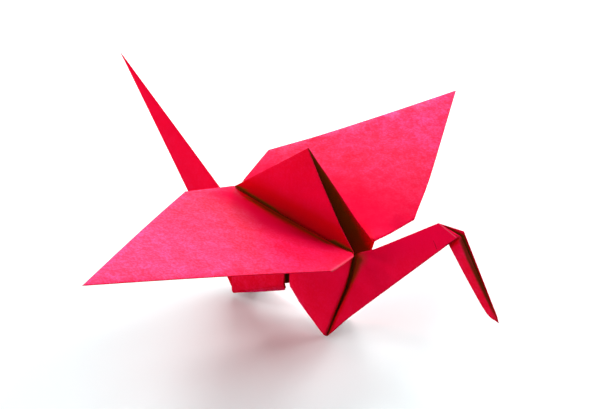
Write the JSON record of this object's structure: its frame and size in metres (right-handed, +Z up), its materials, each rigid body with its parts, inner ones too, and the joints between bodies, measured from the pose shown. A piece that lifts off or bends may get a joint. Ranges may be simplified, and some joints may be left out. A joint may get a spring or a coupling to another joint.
{
  "type": "origami crane",
  "caption": "Paper crane folded from a single square sheet, with spread wings, a pointed tail, and a neck whose tip is turned down into a beak.",
  "frame": {"origin": "on the surface it stands on, under the middle of its bounding box", "axes": "+Z up, +Y from the near wing to the far wing, +X from the tail towards the head"},
  "size_m": [0.1098, 0.1256, 0.0455],
  "materials": {
    "red_paper": "matt, one red all through, with a faint mottle of fibres"
  },
  "bodies": {
    "root": {"folded_sheet": "red_paper"}
  },
  "joints": []
}
